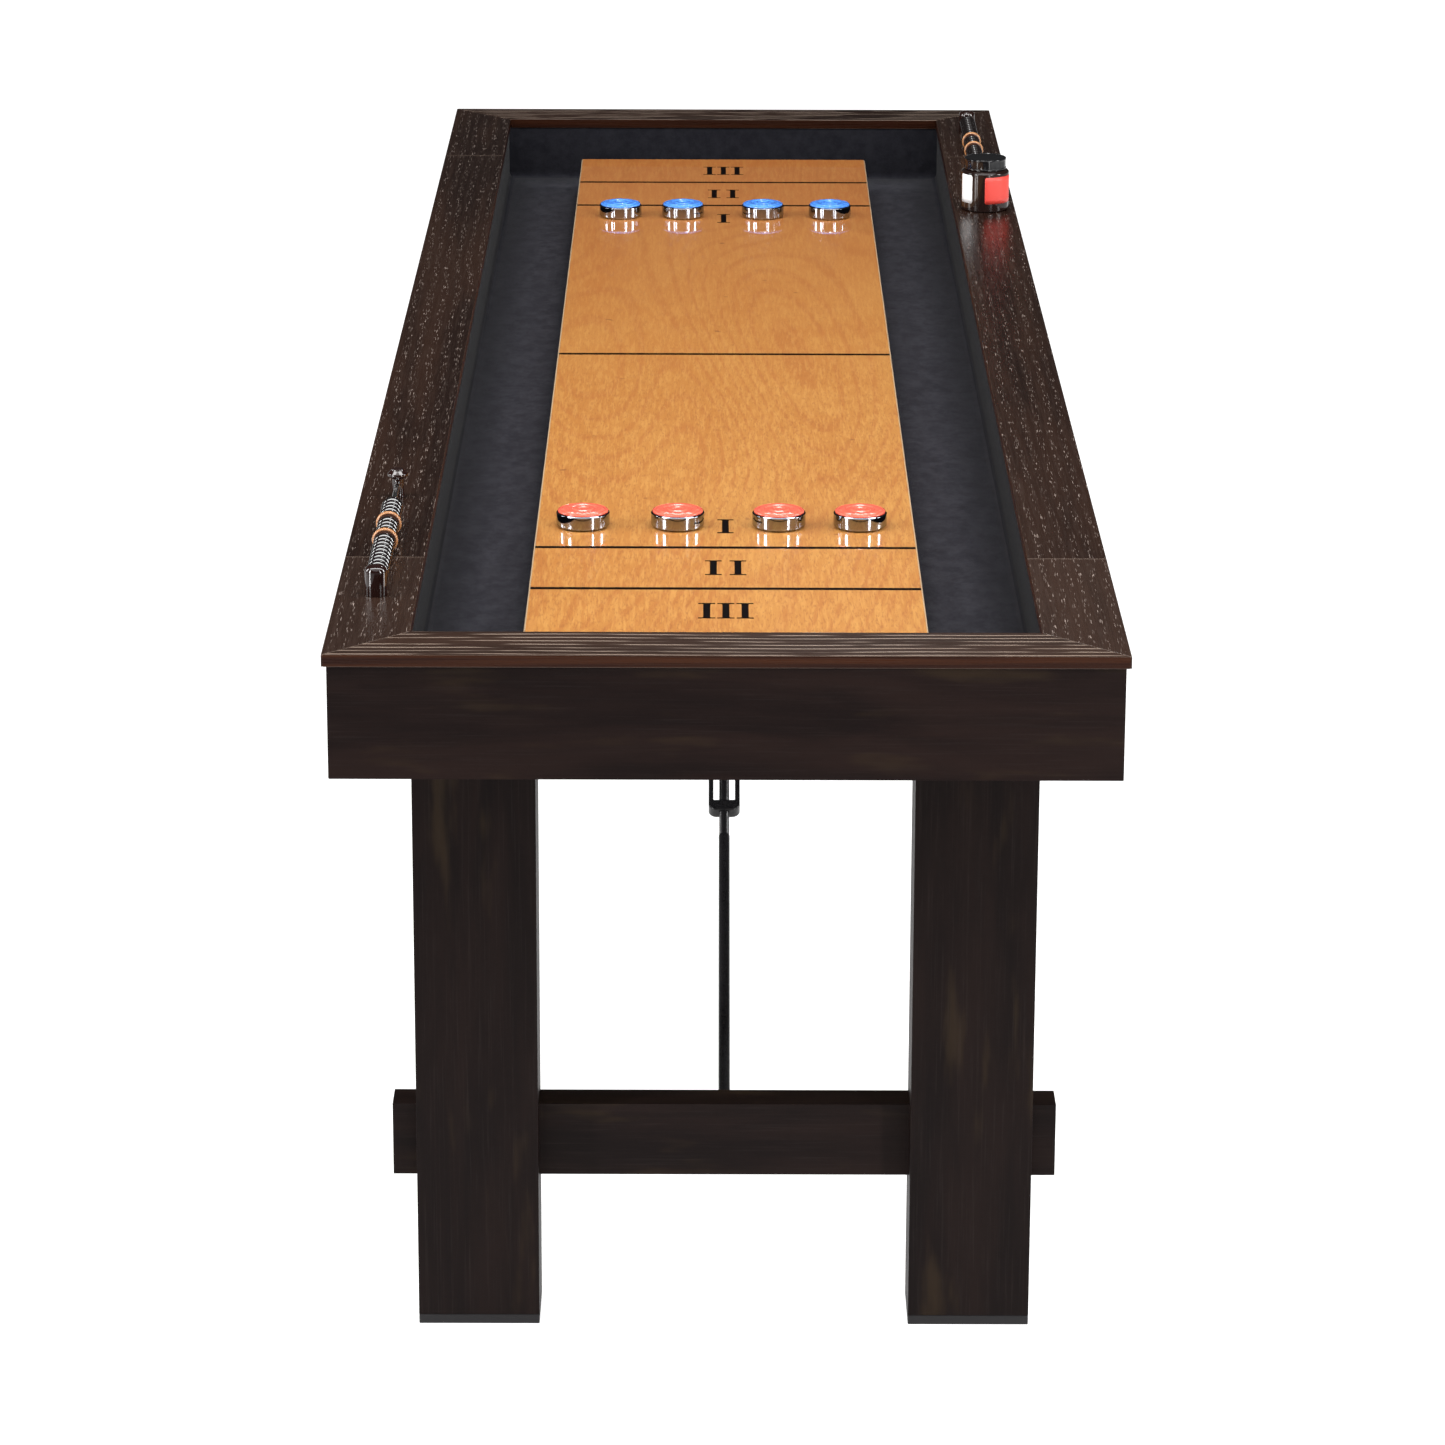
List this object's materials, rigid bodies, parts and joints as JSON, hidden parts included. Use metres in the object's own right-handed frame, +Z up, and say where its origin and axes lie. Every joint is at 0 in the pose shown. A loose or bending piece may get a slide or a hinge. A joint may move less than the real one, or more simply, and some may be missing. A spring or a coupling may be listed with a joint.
{
  "type": "shuffleboard table",
  "caption": "Long wooden shuffleboard table with a felt-lined gutter round a glossy playing board, trestle legs with stretchers and turnbuckle tie rods, bead scorers, pucks and a powder jar.",
  "frame": {"origin": "on the floor, under the middle of the table", "axes": "+Z up, Y along the table with -Y at the end nearest the viewer (front), +X to the right seen from the front"},
  "size_m": [0.762, 2.743, 0.8306],
  "materials": {
    "rail_veneer": "semi-gloss open-pore oak veneer, espresso stain",
    "dark_veneer": "satin veneer, very dark espresso stain",
    "felt": "short-pile charcoal felt glued to board",
    "raw_wood": "plain sawn softwood",
    "board_wood": "figured honey-coloured hardwood under high-gloss lacquer",
    "foot_plastic": "matt dark grey",
    "zinc_steel": "zinc plated",
    "black_steel": "satin black paint on steel",
    "black_gloss": "gloss black moulding",
    "bead_black": "gloss black-brown moulding",
    "bead_marker": "gloss tan orange moulding",
    "puck_chrome": "polished chrome plate on turned steel",
    "cap_red": "gloss coral red moulding",
    "cap_blue": "gloss blue moulding",
    "jar_plastic": "gloss dark brown moulding",
    "lid_plastic": "gloss black moulding with ribbed skirt",
    "label_white": "plain white sticker",
    "label_red": "plain red sticker",
    "print_black": "black print under the board's lacquer"
  },
  "bodies": {
    "root": {"rail_front": "rail_veneer", "rail_back": "rail_veneer", "rail_left": "rail_veneer", "rail_right": "rail_veneer", "apron_front": "dark_veneer", "apron_back": "dark_veneer", "apron_left": "dark_veneer", "apron_right": "dark_veneer", "leg_front_left": "dark_veneer", "leg_front_right": "dark_veneer", "leg_back_left": "dark_veneer", "leg_back_right": "dark_veneer", "stretcher_front": "dark_veneer", "stretcher_back": "dark_veneer", "gutter_floor": "felt", "gutter_wall_front": "felt", "gutter_wall_back": "felt", "gutter_wall_left": "felt", "gutter_wall_right": "felt", "corner_blocks": "raw_wood", "playfield_cleats": "raw_wood", "leg_bearers": "raw_wood", "centre_bearer": "raw_wood", "playfield": "board_wood", "foot_pads": "foot_plastic", "bearer_bolts": "zinc_steel", "bracket_screws": "zinc_steel", "rod_bolts": "zinc_steel", "tie_rods_front": "black_steel", "tie_rods_back": "black_steel", "rod_brackets": "black_steel", "scorer_plain_posts": "black_gloss", "scorer_knob_posts": "black_gloss", "scorer_rods": "zinc_steel"},
    "puck_red_1": {"puck_red_1": "puck_chrome", "puck_red_1_cap": "cap_red"},
    "puck_red_2": {"puck_red_2": "puck_chrome", "puck_red_2_cap": "cap_red"},
    "puck_red_3": {"puck_red_3": "puck_chrome", "puck_red_3_cap": "cap_red"},
    "puck_red_4": {"puck_red_4": "puck_chrome", "puck_red_4_cap": "cap_red"},
    "puck_blue_1": {"puck_blue_1": "puck_chrome", "puck_blue_1_cap": "cap_blue"},
    "puck_blue_2": {"puck_blue_2": "puck_chrome", "puck_blue_2_cap": "cap_blue"},
    "puck_blue_3": {"puck_blue_3": "puck_chrome", "puck_blue_3_cap": "cap_blue"},
    "puck_blue_4": {"puck_blue_4": "puck_chrome", "puck_blue_4_cap": "cap_blue"},
    "beads_left_near": {"beads_left_near": "bead_black"},
    "beads_left_mid": {"beads_left_mid": "bead_black"},
    "beads_left_far": {"beads_left_far": "bead_black"},
    "beads_right_near": {"beads_right_near": "bead_black"},
    "beads_right_mid": {"beads_right_mid": "bead_black"},
    "beads_right_far": {"beads_right_far": "bead_black"},
    "turnbuckle_front": {"turnbuckle_front": "black_steel"},
    "turnbuckle_back": {"turnbuckle_back": "black_steel"},
    "jar": {"jar_body": "jar_plastic"},
    "jar_lid": {"jar_lid": "lid_plastic"}
  },
  "joints": [
    {"name": "puck_red_1_slide", "type": "slide", "parent": "root", "child": "puck_red_1", "axis": [0, 1, 0], "range_m": [-0.36, 0.7]},
    {"name": "puck_red_2_slide", "type": "slide", "parent": "root", "child": "puck_red_2", "axis": [0, 1, 0], "range_m": [-0.36, 0.7]},
    {"name": "puck_red_3_slide", "type": "slide", "parent": "root", "child": "puck_red_3", "axis": [0, 1, 0], "range_m": [-0.36, 0.7]},
    {"name": "puck_red_4_slide", "type": "slide", "parent": "root", "child": "puck_red_4", "axis": [0, 1, 0], "range_m": [-0.36, 0.7]},
    {"name": "puck_blue_1_slide", "type": "slide", "parent": "root", "child": "puck_blue_1", "axis": [0, 1, 0], "range_m": [-0.7, 0.36]},
    {"name": "puck_blue_2_slide", "type": "slide", "parent": "root", "child": "puck_blue_2", "axis": [0, 1, 0], "range_m": [-0.7, 0.36]},
    {"name": "puck_blue_3_slide", "type": "slide", "parent": "root", "child": "puck_blue_3", "axis": [0, 1, 0], "range_m": [-0.7, 0.36]},
    {"name": "puck_blue_4_slide", "type": "slide", "parent": "root", "child": "puck_blue_4", "axis": [0, 1, 0], "range_m": [-0.7, 0.36]},
    {"name": "beads_left_near_slide", "type": "slide", "parent": "root", "child": "beads_left_near", "axis": [0, 1, 0], "range_m": [0, 0.024]},
    {"name": "beads_left_mid_slide", "type": "slide", "parent": "beads_left_near", "child": "beads_left_mid", "axis": [0, 1, 0], "range_m": [0, 0.028]},
    {"name": "beads_left_far_slide", "type": "slide", "parent": "beads_left_mid", "child": "beads_left_far", "axis": [0, 1, 0], "range_m": [0, 0.03]},
    {"name": "beads_right_near_slide", "type": "slide", "parent": "root", "child": "beads_right_near", "axis": [0, -1, 0], "range_m": [0, 0.024]},
    {"name": "beads_right_mid_slide", "type": "slide", "parent": "beads_right_near", "child": "beads_right_mid", "axis": [0, -1, 0], "range_m": [0, 0.028]},
    {"name": "beads_right_far_slide", "type": "slide", "parent": "beads_right_mid", "child": "beads_right_far", "axis": [0, -1, 0], "range_m": [0, 0.03]},
    {"name": "turnbuckle_front_turn", "type": "hinge", "parent": "root", "child": "turnbuckle_front", "pos_m": [0, -0.5807, 0.40925], "axis": [0, 0.9216, 0.3881], "continuous": true},
    {"name": "turnbuckle_back_turn", "type": "hinge", "parent": "root", "child": "turnbuckle_back", "pos_m": [0, 0.5807, 0.40925], "axis": [0, -0.9216, 0.3881], "continuous": true},
    {"name": "jar_lift", "type": "slide", "parent": "root", "child": "jar", "axis": [0, 0, 1], "range_m": [0, 0.15]},
    {"name": "jar_lid_lift", "type": "slide", "parent": "jar", "child": "jar_lid", "axis": [0, 0, 1], "range_m": [0, 0.04]}
  ]
}
